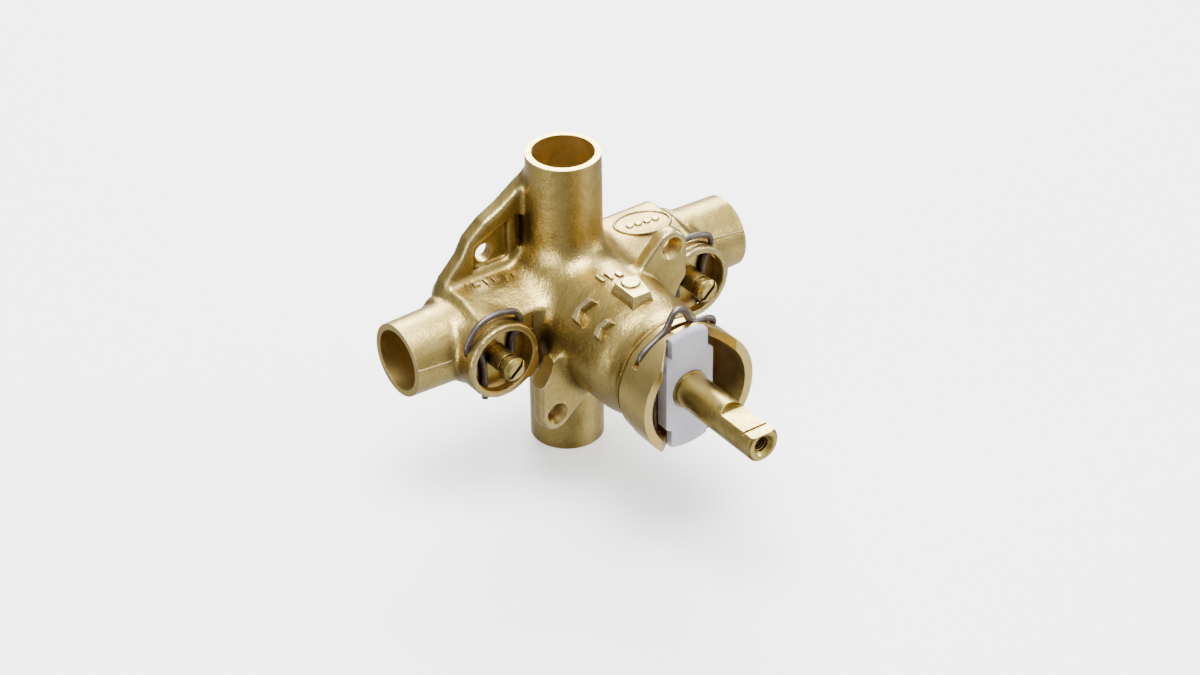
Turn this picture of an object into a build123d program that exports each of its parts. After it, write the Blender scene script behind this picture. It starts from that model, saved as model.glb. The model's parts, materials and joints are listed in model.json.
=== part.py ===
from build123d import *
import math
import os

# Rough-in valve for a shower: a cast brass body with four solder sockets, a pressure balancing
# cartridge in the middle and a screwdriver stop in each inlet.
# Millimetres. The origin is where the axes of the four sockets cross.
# +Z is the shower outlet, -Z the tub outlet, -X the hot inlet, +X the cold inlet, and the
# cartridge and its stem point to -Y, out of the wall.

# Sockets for 1/2 inch copper tube
socket_r = 8.0
socket_depth = 12.7
port_wall = 1.65
port_draft = 0.45
port_chamfer = 0.5
inlet_reach = 51.1
outlet_reach = 42.3
port_r = socket_r + port_wall
port_root_r = port_r + port_draft

# Inlet arms behind the stops
arm_half = 11.6
arm_front_round = 5.0
arm_back_round = 2.5
arm_inner = 13.0
arm_outer = 33.0
arm_taper_end = 38.0
port_overlap = 2.0

# Trunk and barrel round the cartridge axis
trunk_r = 16.0
trunk_back = 13.0
trunk_dome = 4.0
trunk_dome_share = 0.35
trunk_front = -34.0
neck_r = 15.1
neck_y = -39.5
collar_r = 16.6
collar_back = -45.5
collar_step = 0.5
collar_step_y = -49.4
collar_run_out = 0.4
barrel_front = -56.6
barrel_bore_r = 14.2
counterbore_floor = -44.5
window_half = 6.2
window_floor = -50.7
window_step = 0.8
lobe_half = 11.3

# Cartridge bore and the parts that fill it
cartridge_bore_r = 12.6
cartridge_bore_back = 9.5
running = 0.05
seat_gap = 0.10

# Water ways cast or drilled in the body
outlet_way_r = 6.2
inlet_way_r = 3.4
inlet_way_y = 4.6
drill_r = 3.2
drill_y = -3.8

# Stops
stop_x = 29.9
tower_r = 10.25
tower_front = -16.4
tower_rim_chamfer = 0.35
tower_back = 10.6
stop_bore_r = 8.5
stop_ledge_y = -8.0
stop_chamber_r = 7.6
stop_seat_y = 0.3
stop_seat_r = 3.6
stop_travel = 3.9
scoop_r = 11.4

# Lugs for the trim plate screws
lug_pcd = 50.8
lug_front = -21.6
lug_thick = 5.0
lug_r = 4.8
lug_run_in = 9.9
lug_foot_z = 4.0
lug_hole_r = 2.15
lug_hole_depth = 7.2
lug_hole_chamfer = 0.7
lug_rib_x = (-13.0, -6.0)
lug_rib_z = (-19.5, -8.0)

# Rear bracket webs
web_hole_x = 20.5
web_hole_z = 17.0
web_hole_r = 2.55
web_rim_y = 4.4
web_floor_y = 6.2
web_back_y = 9.2
web_inner_x = -6.0
web_outline = (
    (web_inner_x, 36.0),
    (-9.1, 34.1),
    (-15.7, 28.8),
    (-20.6, 27.2),
    (-23.8, 24.2),
    (-27.2, 21.4),
    (-28.0, 18.4),
    (-arm_outer, 12.8),
    (-arm_outer, 0.0),
    (web_inner_x, 0.0),
)
web_pocket = ((-13.6, 25.4), (-25.0, 20.6), (-25.0, 12.6), (-13.6, 12.6))
web_strip = ((-12.4, 26.2), (-12.4, 12.6), (-8.4, 12.6), (-8.4, 26.2))

# Gate pad and raised marks on the trunk
gate_outline = ((-5.4, -24.6), (-5.6, -36.6), (2.9, -36.6), (5.6, -24.6))
gate_top = 18.4
gate_draft = 2.0
gate_root = 12.0
pad_r = 2.4
pad_at = (-0.3, -28.8)
pad_top = 18.9
arrow_mark = (
    (-22.5, 3.9),
    (-26.8, 3.9),
    (-24.9, 0.3),
    (-26.3, -3.9),
    (-22.9, -3.9),
    (-21.8, 0.6),
)
block_mark = (
    (-32.1, 3.9),
    (-35.4, 3.8),
    (-34.2, 0.7),
    (-35.4, -2.4),
    (-32.3, -2.6),
    (-31.0, 1.0),
)
mark_angle = 133.3
mark_height = 1.5
mark_draft = 0.7
mark_root = 1.0

# Retaining clips, bent from round wire
clip_play = 0.15
foot_play = 0.8
barrel_wire_r = 0.8
barrel_clip_y = -48.3
barrel_slot_z = 8.8
barrel_foot_z = -8.0
barrel_leg_top = 7.0
barrel_leg_end = -14.0
barrel_loop = (
    (-12.4, 10.7, 1.6),
    (-3.9, 15.7, 1.6),
    (-1.9, 20.2, 1.4),
    (1.5, 20.0, 1.3),
    (3.0, 14.2, 1.6),
    (10.4, 12.6, 1.5),
)
barrel_leg_bend = 1.4
stop_wire_r = 0.75
stop_clip_y = -13.0
stop_leg_gap = 0.33
stop_leg_top = 3.2
stop_leg_end = -11.4
stop_slot_z = 3.4
stop_foot_z = -6.5
stop_loop = (
    (-9.4, 5.2, 1.2),
    (-8.2, 9.8, 5.0),
    (-3.3, 12.3, 10.0),
    (2.2, 12.6, 10.0),
    (6.8, 10.8, 1.6),
    (6.9, 7.2, 1.6),
)
stop_leg_bend = 1.3

# Cartridge cap
cap_front = -52.8
cap_ear_half = 5.4
cap_ear_r = 16.7
cap_flat_half = 7.05
cap_block_r = 11.9
cap_groove_depth = 0.55
cap_flange_length = 2.0
cap_ear_bevel = 0.5
cap_flange_back = counterbore_floor + cap_flange_length
barrel_leg_x = cap_flat_half - cap_groove_depth + clip_play + barrel_wire_r

# Cartridge stem
stem_r = 4.65
stem_tip = -82.2
stem_flat_start = -69.9
stem_flat_run_out = 1.5
stem_cutter_r = 4.4
stem_flat_depth = 1.45
stem_groove_y = -79.1
stem_groove_width = 0.7
stem_groove_depth = 0.5
stem_bevel = 0.6
stem_hole_r = 2.1
stem_hole_depth = 12.0
stem_hole_chamfer = 0.9
stem_journal_r = 5.1
stem_journal_stand = 0.6
stem_journal_front = cap_front - stem_journal_stand
stem_collar_r = 8.2
stem_collar_length = 2.2
stem_collar_front = cap_flange_back + seat_gap
stem_waist_r = 5.6
stem_sleeve_front = -18.6
stem_sleeve_wall = 1.5
stem_sleeve_back = 6.8
stem_window_r = 2.6
stem_window_y = 3.4
stem_outlet_r = 4.16

# Cartridge shell
shell_r = cartridge_bore_r - running
shell_wall = 2.2
shell_front = cap_flange_back + seat_gap
shell_back = 9.0
shell_end_wall = 1.6
window_step_in = 0.4

# Balancing spool inside the stem
spool_travel = 2.0
spool_land = 3.2
spool_waist_r = 3.6
spool_bore_r = 2.0
plug_length = 1.8
plug_hole_r = 1.5
plug_play = 0.02
spool_end_play = 0.3
spool_length = 15.2
sleeve_r = shell_r - shell_wall - running
sleeve_bore_r = sleeve_r - stem_sleeve_wall
plug_front = stem_sleeve_back - plug_length

# Seals
shell_ring_r = 0.9
shell_ring_places = (-38.6, -12.0)
stem_ring_r = 0.85
stem_ring_y = -46.2
seal_r = 4.6
seal_thick = 0.9
ring_play = 0.03

# Stop parts
seated = 0.02
bonnet_back = stop_ledge_y - seated
bonnet_front = stop_clip_y + stop_wire_r + clip_play
stop_stem_r = 2.95
stop_head_r = 3.15
stop_face_r = 2.2
stop_head_bevel = 0.9
stop_head_front = -21.6
stop_head_back = -18.9
stop_neck_r = 2.35
stop_neck_length = 1.1
driver_slot_width = 1.0
driver_slot_depth = 1.1
driver_slot_angle = -42.0
stop_leg_x = stop_stem_r + stop_leg_gap + stop_wire_r
stop_spigot_r = 1.7
stop_spigot_length = 1.9
stop_ring_y = -10.1
bonnet_ring_r = 0.8
stop_ring_r = 0.6
holder_r = 6.2
holder_gap = 0.35
holder_front = bonnet_back + holder_gap
holder_back = -4.8
washer_r = 5.0
washer_recess = 0.9
washer_gap = 0.1
washer_back = stop_seat_y - stop_travel - washer_gap

# How far a cutter runs out past the face it opens, and half the length of one that spans a piece
past = 1.0
half_span = 20.0

X_PLANE = Plane.YZ
Y_PLANE = Plane.ZX
Z_PLANE = Plane.XY


def rod(axis, radius, start, end, across=(0.0, 0.0)):
    """A cylinder along X, Y or Z; across gives its centre in the other two axes, in X, Y, Z order."""
    if axis == "X":
        place = X_PLANE.offset(start) * Pos(across[0], across[1])
    elif axis == "Y":
        place = Y_PLANE.offset(start) * Pos(across[1], across[0])
    else:
        place = Z_PLANE.offset(start) * Pos(across[0], across[1])
    return extrude(place * Circle(radius), amount=end - start)


def block(x, y, z):
    """A box from three (low, high) spans."""
    centre = Pos((x[0] + x[1]) / 2, (y[0] + y[1]) / 2, (z[0] + z[1]) / 2)
    return centre * Box(x[1] - x[0], y[1] - y[0], z[1] - z[0])


def turned(axis, outline, across=(0.0, 0.0)):
    """Revolve (along, radius) points about an axis; the outline is closed along the axis."""
    first, last = outline[0][0], outline[-1][0]
    points = [(first, 0.0)] + list(outline) + [(last, 0.0)]
    if axis == "X":
        face = make_face(Polyline([(a, r) for a, r in points], close=True))
        return Pos(0, across[0], across[1]) * revolve(face, Axis.X)
    if axis == "Y":
        face = make_face(Polyline([(r, a) for a, r in points], close=True))
        return Pos(across[0], 0, across[1]) * revolve(face, Axis.Y)
    face = Plane.XZ * make_face(Polyline([(r, a) for a, r in points], close=True))
    return Pos(across[0], across[1], 0) * revolve(face, Axis.Z)


def ring(axis, major, minor, along, across=(0.0, 0.0)):
    """A round rubber ring or wire loop about an axis."""
    if axis == "X":
        place = X_PLANE.offset(along) * Pos(across[0], across[1])
    elif axis == "Y":
        place = Y_PLANE.offset(along) * Pos(across[1], across[0])
    else:
        place = Z_PLANE.offset(along) * Pos(across[0], across[1])
    return place * Torus(major, minor)


def flat_plate(points, y_front, y_back):
    """A plate in the XZ plane with the outline given as (x, z) points."""
    face = Y_PLANE.offset(y_front) * make_face(Polyline([(z, x) for x, z in points], close=True))
    return extrude(face, amount=y_back - y_front)


def half_turn(solid):
    """The same form turned half way round the cartridge axis."""
    return Rot(0, 180, 0) * solid


def port(axis, reach, root):
    """One socket's outside: a tube with a slight draft and a broken end edge."""
    sign = 1 if reach > 0 else -1
    outline = [
        (sign * root, port_root_r),
        (reach - sign * port_chamfer, port_r),
        (reach, port_r - port_chamfer),
    ]
    return turned(axis, outline)


def arm(sign):
    """The squarer length of casting behind a stop, tapering into its port."""
    section = Rectangle(2 * arm_half, 2 * arm_half)
    front = section.vertices().sort_by(Axis.X)[:2]
    section = fillet(front, arm_front_round)
    back = section.vertices().sort_by(Axis.X)[-2:]
    section = fillet(back, arm_back_round)
    place = Plane(origin=(sign * arm_inner, 0, 0), x_dir=(0, 1, 0), z_dir=(sign, 0, 0))
    straight = extrude(place * section, amount=arm_outer - arm_inner)
    outer = Plane(origin=(sign * arm_outer, 0, 0), x_dir=(0, 1, 0), z_dir=(sign, 0, 0))
    end = Plane(origin=(sign * arm_taper_end, 0, 0), x_dir=(0, 1, 0), z_dir=(sign, 0, 0))
    taper = loft([outer * section, end * Circle(port_root_r)])
    return straight + taper


def trunk():
    """The round middle of the casting, from its domed back to the rim of the barrel."""
    dome_r = trunk_r - trunk_dome
    outline = [
        (trunk_back, dome_r),
        (trunk_back - trunk_dome * trunk_dome_share, trunk_r - trunk_dome * trunk_dome_share),
        (trunk_back - trunk_dome, trunk_r),
        (trunk_front, trunk_r),
        (neck_y, neck_r),
        (collar_back + collar_run_out, neck_r + collar_step),
        (collar_back, collar_r - collar_step),
        (collar_step_y, collar_r - collar_step),
        (collar_step_y, collar_r),
        (barrel_front, collar_r),
    ]
    return turned("Y", outline)


def lug_centre():
    """The trim screw hole on the +X +Z side."""
    half = lug_pcd / 2 * math.sin(math.radians(45))
    return half, half


def lug():
    """A plate from the trunk out round a trim screw hole, on the +X +Z side."""
    back = lug_front + lug_thick
    cx, cz = lug_centre()
    reach = lug_r * math.sin(math.radians(45))
    points = [
        (cx - reach - lug_run_in, cz + reach - lug_run_in),
        (cx - reach, cz + reach),
        (cx + lug_r, cz),
        (cx + lug_r, lug_foot_z),
        (trunk_r, 0.0),
        (0.0, 0.0),
    ]
    plate = flat_plate(points, lug_front, back)
    return plate + rod("Y", lug_r, lug_front, back, (cx, cz))


def rear_web():
    """The bracket web between the shower outlet and the hot inlet, with its pockets."""
    web = flat_plate(web_outline, web_rim_y, web_back_y)
    web -= flat_plate(web_pocket, web_rim_y - past, web_floor_y)
    web -= flat_plate(web_strip, web_rim_y - past, web_floor_y)
    return web


def drafted(place, points, height, draft):
    """A raised form with sloping sides, on a plane."""
    face = place * make_face(Polyline(list(points), close=True))
    return extrude(face, amount=height, taper=math.degrees(math.atan2(draft, height)))


def top_marks():
    """The raised gate pad and the two small cast marks on the upper side of the trunk."""
    marks = drafted(Plane.XY.offset(gate_root), gate_outline, gate_top - gate_root, gate_draft)
    marks += rod("Z", pad_r, gate_root, pad_top, pad_at)
    angle = math.radians(mark_angle)
    outward = (math.cos(angle), 0, math.sin(angle))
    place = Plane(origin=(0, 0, 0), x_dir=(0, 1, 0), z_dir=outward)
    root = mark_height + mark_root
    for outline in (arrow_mark, block_mark):
        low = place.offset(trunk_r + mark_height - root)
        marks += drafted(low, outline, root, mark_draft)
    return marks


def body_outside():
    """All the cast outside, before anything is bored."""
    solid = trunk()
    for sign in (-1, 1):
        solid += port("X", sign * inlet_reach, arm_taper_end - port_overlap)
        solid += arm(sign)
        solid += port("Z", sign * outlet_reach, 0)
        solid += turned(
            "Y",
            [
                (tower_back, tower_r),
                (tower_front + tower_rim_chamfer, tower_r),
                (tower_front, tower_r - tower_rim_chamfer),
            ],
            (sign * stop_x, 0),
        )
    solid += lug()
    solid += half_turn(lug())
    solid += block(lug_rib_x, (lug_front + lug_thick, 0), lug_rib_z)
    solid += rear_web()
    solid += half_turn(rear_web())
    solid += top_marks()
    return solid


def stop_cavity(sign):
    """Bore, ledge, chamber, seat and water ways of one stop, and the two slots of its clip."""
    x = sign * stop_x
    at = (x, 0)
    cut = rod("Y", stop_bore_r, tower_front - past, stop_ledge_y, at)
    cut += rod("Y", stop_chamber_r, stop_ledge_y, stop_seat_y, at)
    cut += rod("Y", stop_seat_r, stop_seat_y, inlet_way_y, at)
    cut += rod("X", inlet_way_r, 0, x, (inlet_way_y, 0))
    cut += rod("X", drill_r, x, sign * (inlet_reach - socket_depth), (drill_y, 0))
    slot_half = stop_wire_r + clip_play
    slot = (stop_clip_y - slot_half, stop_clip_y + slot_half)
    wide = tower_r + past
    cut += block((x - wide, x + wide), slot, (stop_slot_z, wide))
    foot = stop_leg_x + stop_wire_r + 2 * foot_play
    cut += block((x - foot, x + foot), slot, (-wide, stop_foot_z))
    return cut


def tool_scoop(sign):
    """Room for a driver in front of a stop, cut out of the lugs and the trunk."""
    return rod("Y", scoop_r, lug_front - past, tower_front, (sign * stop_x, 0))


def barrel_cavity():
    """The stepped cartridge bore, the ear windows and the clip slots."""
    cut = rod("Y", cartridge_bore_r, counterbore_floor - past, cartridge_bore_back)
    cut += rod("Y", barrel_bore_r, barrel_front - past, counterbore_floor)
    profile = [
        (-window_half, window_floor),
        (-window_half, window_floor - window_step),
        (-lobe_half, barrel_front),
        (-lobe_half, barrel_front - past),
        (lobe_half, barrel_front - past),
        (lobe_half, barrel_front),
        (window_half, window_floor - window_step),
        (window_half, window_floor),
    ]
    window = make_face(Polyline(profile, close=True))
    cut += extrude(window, amount=collar_r + past, both=True)
    slot_half = barrel_wire_r + clip_play
    slot = (barrel_clip_y - slot_half, barrel_clip_y + slot_half)
    cut += block((-collar_r - past, collar_r + past), slot, (barrel_slot_z, collar_r + past))
    foot_half = barrel_wire_r + foot_play
    for sign in (-1, 1):
        foot = (sign * barrel_leg_x - foot_half, sign * barrel_leg_x + foot_half)
        cut += block(foot, slot, (-collar_r - past, barrel_foot_z))
    return cut


def valve_body():
    solid = body_outside()
    solid -= barrel_cavity()
    for sign in (-1, 1):
        solid -= tool_scoop(sign)
        solid -= stop_cavity(sign)
        reach = sign * inlet_reach
        solid -= rod("X", socket_r, reach - sign * socket_depth, reach + sign * past)
        reach = sign * outlet_reach
        solid -= rod("Z", socket_r, reach - sign * socket_depth, reach + sign * past)
        solid -= rod("Z", outlet_way_r, 0, reach)
    cx, cz = lug_centre()
    for x, z in ((cx, cz), (-cx, -cz)):
        solid -= rod("Y", lug_hole_r, lug_front - past, lug_front + lug_hole_depth, (x, z))
        mouth = lug_hole_r + lug_hole_chamfer
        solid -= turned("Y", [(lug_front, mouth), (lug_front + lug_hole_chamfer, lug_hole_r)], (x, z))
    for sign in (-1, 1):
        hole = (-sign * web_hole_x, sign * web_hole_z)
        solid -= rod("Y", web_hole_r, web_rim_y - past, web_back_y + past, hole)
    return solid


def ring_groove(outer, minor, y):
    """What is cut from the outside of a round piece to seat a rubber ring of cord radius minor."""
    groove = rod("Y", outer + past, y - minor - ring_play, y + minor + ring_play)
    return groove - rod("Y", outer - 2 * minor, y - minor - past, y + minor + past)


def inner_groove(inner, minor, y, across=(0.0, 0.0)):
    """What is cut from the inside of a bore to seat a rubber ring."""
    return rod("Y", inner + 2 * minor + ring_play, y - minor - ring_play, y + minor + ring_play, across)


def cartridge_shell():
    """The sleeve in the cartridge bore, with a window to each water way and two ring grooves."""
    inner = shell_r - shell_wall
    solid = rod("Y", shell_r, shell_front, shell_back)
    solid -= rod("Y", inner, shell_front - past, shell_back - shell_end_wall)
    through = (-cartridge_bore_r, cartridge_bore_r)
    solid -= rod("Z", outlet_way_r - window_step_in, *through)
    solid -= rod("X", inlet_way_r - window_step_in, *through, (inlet_way_y, 0))
    for y in shell_ring_places:
        solid -= ring_groove(shell_r, shell_ring_r, y)
    for sign in (-1, 1):
        start = sign * (shell_r - seal_thick)
        solid -= rod("X", seal_r, start, sign * (shell_r + past), (inlet_way_y, 0))
    return solid


def shell_ring(y):
    return ring("Y", shell_r - shell_ring_r + ring_play / 2, shell_ring_r - ring_play, y)


def inlet_seal(sign):
    """A rubber ring let into the shell round one inlet window."""
    seal = rod("X", seal_r - ring_play, sign * (shell_r - seal_thick), sign * (shell_r + past), (inlet_way_y, 0))
    seal -= rod("X", inlet_way_r - window_step_in, 0, sign * (shell_r + 2 * past), (inlet_way_y, 0))
    return seal & rod("Y", shell_r, inlet_way_y - 2 * seal_r, inlet_way_y + 2 * seal_r)


def cartridge_cap():
    """The plastic front of the cartridge: flange, block with two flats, and the two ears."""
    solid = rod("Y", shell_r, counterbore_floor, cap_flange_back)
    body = rod("Y", cap_block_r, cap_front, counterbore_floor)
    body &= block((-cap_flat_half, cap_flat_half), (cap_front - past, 0), (-half_span, half_span))
    ears = turned(
        "Y",
        [
            (cap_front, cap_ear_r - cap_ear_bevel),
            (cap_front + cap_ear_bevel, cap_ear_r),
            (window_floor - seat_gap, cap_ear_r),
        ],
    )
    ears &= block((-cap_ear_half, cap_ear_half), (cap_front - past, 0), (-half_span, half_span))
    solid += body
    solid += ears
    groove_half = barrel_wire_r + clip_play
    groove = (barrel_clip_y - groove_half, barrel_clip_y + groove_half)
    for sign in (-1, 1):
        side = sorted((sign * (cap_flat_half - cap_groove_depth), sign * half_span))
        solid -= block(side, groove, (-half_span, half_span))
    solid -= rod("Y", stem_journal_r + running, cap_front - past, cap_flange_back + past)
    return solid - inner_groove(stem_journal_r, stem_ring_r, stem_ring_y)


def cartridge_stem():
    """The turning stem: a long round shaft with a flat, a collar, and a hollow sleeve with windows."""
    solid = turned(
        "Y",
        [
            (stem_tip, stem_r - stem_bevel),
            (stem_tip + stem_bevel, stem_r),
            (stem_journal_front, stem_r),
            (stem_journal_front, stem_journal_r),
            (stem_collar_front, stem_journal_r),
            (stem_collar_front, stem_collar_r),
            (stem_collar_front + stem_collar_length, stem_collar_r),
            (stem_collar_front + stem_collar_length, stem_waist_r),
            (stem_sleeve_front, stem_waist_r),
            (stem_sleeve_front, sleeve_r),
            (stem_sleeve_back, sleeve_r),
        ],
    )
    bore_front = plug_front - 2 * spool_travel - 2 * spool_end_play - spool_length
    solid -= rod("Y", sleeve_bore_r, bore_front, stem_sleeve_back + past)
    floor = stem_r - stem_flat_depth
    wide = stem_r + past
    solid -= block((-wide, wide), (stem_tip - past, stem_flat_start), (floor, wide))
    cutter_y = stem_flat_start + stem_flat_run_out - stem_cutter_r
    solid -= rod("Z", stem_cutter_r, floor, wide, (0, cutter_y))
    groove = (stem_groove_y, stem_groove_y + stem_groove_width)
    solid -= block((-wide, wide), groove, (floor - stem_groove_depth, wide))
    solid -= rod("Y", stem_hole_r, stem_tip - past, stem_tip + stem_hole_depth)
    mouth = stem_hole_r + stem_hole_chamfer
    solid -= turned("Y", [(stem_tip, mouth), (stem_tip + stem_hole_chamfer, stem_hole_r)])
    solid -= rod("Z", stem_outlet_r, -half_span, half_span)
    solid -= rod("X", stem_window_r, -half_span, half_span, (stem_window_y, 0))
    return solid


def balance_spool():
    """The free spool that evens out hot and cold pressure: three lands on a drilled waist."""
    land_r = sleeve_bore_r - running
    front = plug_front - spool_end_play - spool_travel - spool_length
    gap = (spool_length - 3 * spool_land) / 2
    outline = []
    for number in range(3):
        start = front + number * (spool_land + gap)
        outline += [(start, spool_waist_r), (start, land_r)]
        outline += [(start + spool_land, land_r), (start + spool_land, spool_waist_r)]
    solid = turned("Y", outline)
    return solid - rod("Y", spool_bore_r, front - past, front + spool_length + past)


def spool_plug():
    """The ring that closes the back of the stem and keeps the spool in."""
    solid = rod("Y", sleeve_bore_r - plug_play, plug_front, stem_sleeve_back)
    return solid - rod("Y", plug_hole_r, plug_front - past, stem_sleeve_back + past)


def wire(points, radii, y, wire_r):
    """A bent wire of round section in the plane at y; points are (x, z) corners."""
    corners = [(x, y, z) for x, z in points]
    path = FilletPolyline(*corners, radius=radii)
    start = Plane(origin=path @ 0, z_dir=path % 0)
    return sweep(start * Circle(wire_r), path=path)


def clip(leg_x, leg_end, leg_top, leg_bend, loop, y, wire_r):
    """A wire clip: two straight legs joined over the top by a loop of (x, z, bend radius) corners."""
    points = [(-leg_x, leg_end), (-leg_x, leg_top)]
    points += [(x, z) for x, z, bend in loop]
    points += [(leg_x, leg_top), (leg_x, leg_end)]
    radii = [leg_bend] + [bend for x, z, bend in loop] + [leg_bend]
    return wire(points, radii, y, wire_r)


def cartridge_clip():
    """The spring clip that holds the cartridge: two legs beside the flats and a hump to pull it by."""
    legs = (barrel_leg_x, barrel_leg_end, barrel_leg_top, barrel_leg_bend)
    return clip(*legs, barrel_loop, barrel_clip_y, barrel_wire_r)


def stop_clip(sign):
    """The spring clip of one stop: it arches over the tower and its legs straddle the stop stem."""
    legs = (stop_leg_x, stop_leg_end, stop_leg_top, stop_leg_bend)
    return at_stop(sign) * clip(*legs, stop_loop, stop_clip_y, stop_wire_r)


def at_stop(sign):
    return Pos(sign * stop_x, 0, 0)


def stop_bonnet(sign):
    """The brass plug of a stop, held in by the clip, with a ring inside and a ring outside."""
    solid = rod("Y", stop_bore_r - running, bonnet_front, bonnet_back)
    solid -= rod("Y", stop_stem_r + running, bonnet_front - past, bonnet_back + past)
    solid -= ring_groove(stop_bore_r - running, bonnet_ring_r, stop_ring_y)
    solid -= inner_groove(stop_stem_r, stop_ring_r, stop_ring_y)
    return at_stop(sign) * solid


def bonnet_ring(sign):
    major = stop_bore_r - running - bonnet_ring_r + ring_play / 2
    return at_stop(sign) * ring("Y", major, bonnet_ring_r - ring_play, stop_ring_y)


def stop_stem_ring(sign):
    major = stop_stem_r + stop_ring_r + 2 * ring_play
    return at_stop(sign) * ring("Y", major, stop_ring_r - ring_play, stop_ring_y)


def stem_ring():
    return ring("Y", stem_journal_r + stem_ring_r + 2 * ring_play, stem_ring_r - ring_play, stem_ring_y)


def stop_stem(sign):
    """The screwdriver stem of a stop: slotted head, neck, shaft and the spigot its holder turns on."""
    shaft_end = holder_front - seat_gap
    spigot_end = shaft_end + stop_spigot_length
    solid = turned(
        "Y",
        [
            (stop_head_front, stop_face_r),
            (stop_head_front + stop_head_bevel, stop_head_r),
            (stop_head_back, stop_head_r),
            (stop_head_back, stop_neck_r),
            (stop_head_back + stop_neck_length, stop_neck_r),
            (stop_head_back + stop_neck_length, stop_stem_r),
            (shaft_end, stop_stem_r),
            (shaft_end, stop_spigot_r),
            (spigot_end, stop_spigot_r),
        ],
    )
    depth = (stop_head_front - past, stop_head_front + driver_slot_depth)
    width = (-driver_slot_width / 2, driver_slot_width / 2)
    slot = block((-stop_head_r, stop_head_r), depth, width)
    return at_stop(sign) * (solid - Rot(0, driver_slot_angle, 0) * slot)


def washer_holder(sign):
    """The cup that carries the washer; it slides in the chamber and does not turn."""
    solid = rod("Y", holder_r, holder_front, holder_back)
    solid -= rod("Y", stop_spigot_r + running, holder_front - past, holder_front + stop_spigot_length)
    solid -= rod("Y", washer_r, holder_back - washer_recess, holder_back + past)
    return at_stop(sign) * solid


def stop_washer(sign):
    solid = rod("Y", washer_r - ring_play, holder_back - washer_recess + seated, washer_back)
    return at_stop(sign) * solid


def make_parts():
    """Every piece of the valve by its node name."""
    parts = {
        "valve_body": valve_body(),
        "cartridge_shell": cartridge_shell(),
        "cartridge_cap": cartridge_cap(),
        "cartridge_clip": cartridge_clip(),
        "cartridge_stem": cartridge_stem(),
        "stem_o_ring": stem_ring(),
        "front_shell_o_ring": shell_ring(shell_ring_places[0]),
        "rear_shell_o_ring": shell_ring(shell_ring_places[1]),
        "balance_spool": balance_spool(),
        "spool_plug": spool_plug(),
    }
    for side, sign in (("hot", -1), ("cold", 1)):
        parts[side + "_inlet_seal"] = inlet_seal(sign)
        parts[side + "_stop_clip"] = stop_clip(sign)
        parts[side + "_stop_bonnet"] = stop_bonnet(sign)
        parts[side + "_bonnet_o_ring"] = bonnet_ring(sign)
        parts[side + "_stop_stem"] = stop_stem(sign)
        parts[side + "_stop_stem_o_ring"] = stop_stem_ring(sign)
        parts[side + "_washer_holder"] = washer_holder(sign)
        parts[side + "_stop_washer"] = stop_washer(sign)
    return parts


os.makedirs("parts", exist_ok=True)
for name, solid in make_parts().items():
    export_step(solid, "parts/" + name + ".step")
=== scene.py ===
import json
import math

import bmesh
import bpy
import numpy as np
from mathutils import Matrix, Vector


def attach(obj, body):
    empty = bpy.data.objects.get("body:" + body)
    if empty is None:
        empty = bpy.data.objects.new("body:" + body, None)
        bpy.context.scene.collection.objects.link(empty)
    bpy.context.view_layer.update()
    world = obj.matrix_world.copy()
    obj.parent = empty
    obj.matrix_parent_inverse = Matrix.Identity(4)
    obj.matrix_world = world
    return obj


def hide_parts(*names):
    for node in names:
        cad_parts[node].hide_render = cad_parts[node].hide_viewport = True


# A cast brass shower valve. Blender's frame is in metres, and the sizes here are in millimetres.
# +Z is the shower outlet, -X the hot inlet, +X the cold inlet, and the stem points to -Y.
MM = 0.001

# Sizes of the casting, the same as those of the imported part, apart from the lug's back
SOCKET_R = 8.0
SOCKET_DEPTH = 12.7
PORT_R = 9.65
PORT_ROOT_R = 10.1
INLET_REACH = 51.1
OUTLET_REACH = 42.3
BODY_BACK = 13.0
BARREL_FRONT = -56.6
BARREL_R = 14.2
BORE_R = 12.6
STOP_X = 29.9
TOWER_R = 10.25
TOWER_FRONT = -16.4
SCOOP_R = 11.4
LUG_AT = 25.4 * math.sin(math.radians(45))
LUG_FRONT = -21.6
LUG_BACK = -17.3
LUG_R = 4.8
WEB_FRONT = 4.4
WEB_BACK = 9.2
WEB_HOLE = (-20.5, 17.0)
BARREL_CLIP_Y = -48.3
STOP_CLIP_Y = -13.0

# Rough casting, as (along, radius) of what is round and as (x, z) of what is flat
TRUNK = [
    (-58.0, 17.2), (-45.9, 17.2), (-45.1, 15.9), (-42.5, 15.1), (-39.5, 15.15),
    (-36.0, 15.9), (-33.5, 16.15), (8.0, 16.0), (13.0, 14.6),
]
INLET_PORT = [(-1.0, PORT_ROOT_R), (36.0, PORT_ROOT_R), (52.3, PORT_R)]
OUTLET_PORT = [(-1.0, 9.9), (30.0, 9.75), (43.5, 9.65)]
WEB = [
    (-4.0, 36.5), (-9.4, 33.6), (-15.6, 29.3), (-21.0, 26.6), (-25.6, 22.8),
    (-28.0, 18.4), (-33.0, 13.2), (-33.0, 0.0), (-4.0, 0.0),
]
WEB_POCKETS = (
    [(-13.9, 25.2), (-24.6, 20.4), (-24.8, 13.6), (-13.9, 13.6)],
    [(-11.7, 25.6), (-11.7, 13.6), (-9.0, 13.6), (-9.0, 25.6)],
)

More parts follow.
